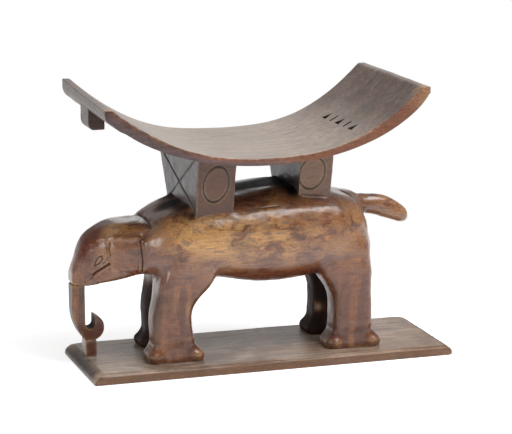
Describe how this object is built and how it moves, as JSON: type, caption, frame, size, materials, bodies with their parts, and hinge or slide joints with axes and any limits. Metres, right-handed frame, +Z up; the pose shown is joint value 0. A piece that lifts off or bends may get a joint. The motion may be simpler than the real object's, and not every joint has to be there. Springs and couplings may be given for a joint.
{
  "type": "ashanti stool",
  "caption": "Low carved wooden stool: a crescent seat on two pillars, carried on the back of a standing elephant whose feet and trunk rest on a plank.",
  "frame": {"origin": "middle of the plank's flat underside, on the surface the stool stands on", "axes": "+Z up, +X along the stool towards the elephant's tail, +Y across the stool towards the elephant's right side"},
  "size_m": [0.6069, 0.293, 0.448],
  "materials": {
    "plank_wood": "grey-brown bare wood, worn smooth, with brown edges",
    "seat_wood": "matte grey-taupe wood, worn by use, with orange-brown edges",
    "pillar_wood": "satin grey-brown wood with dark incised lines",
    "elephant_wood": "polished warm brown wood with a dark patina"
  },
  "bodies": {
    "root": {"base_plank": "plank_wood", "seat": "seat_wood", "front_seat_lug": "seat_wood", "rear_seat_lug": "seat_wood", "front_pillar": "pillar_wood", "rear_pillar": "pillar_wood", "torso": "elephant_wood", "head": "elephant_wood", "left_ear": "elephant_wood", "right_ear": "elephant_wood", "trunk": "elephant_wood", "trunk_prop": "elephant_wood", "tail": "elephant_wood", "left_front_leg": "elephant_wood", "right_front_leg": "elephant_wood", "left_hind_leg": "elephant_wood", "right_hind_leg": "elephant_wood"}
  },
  "joints": []
}
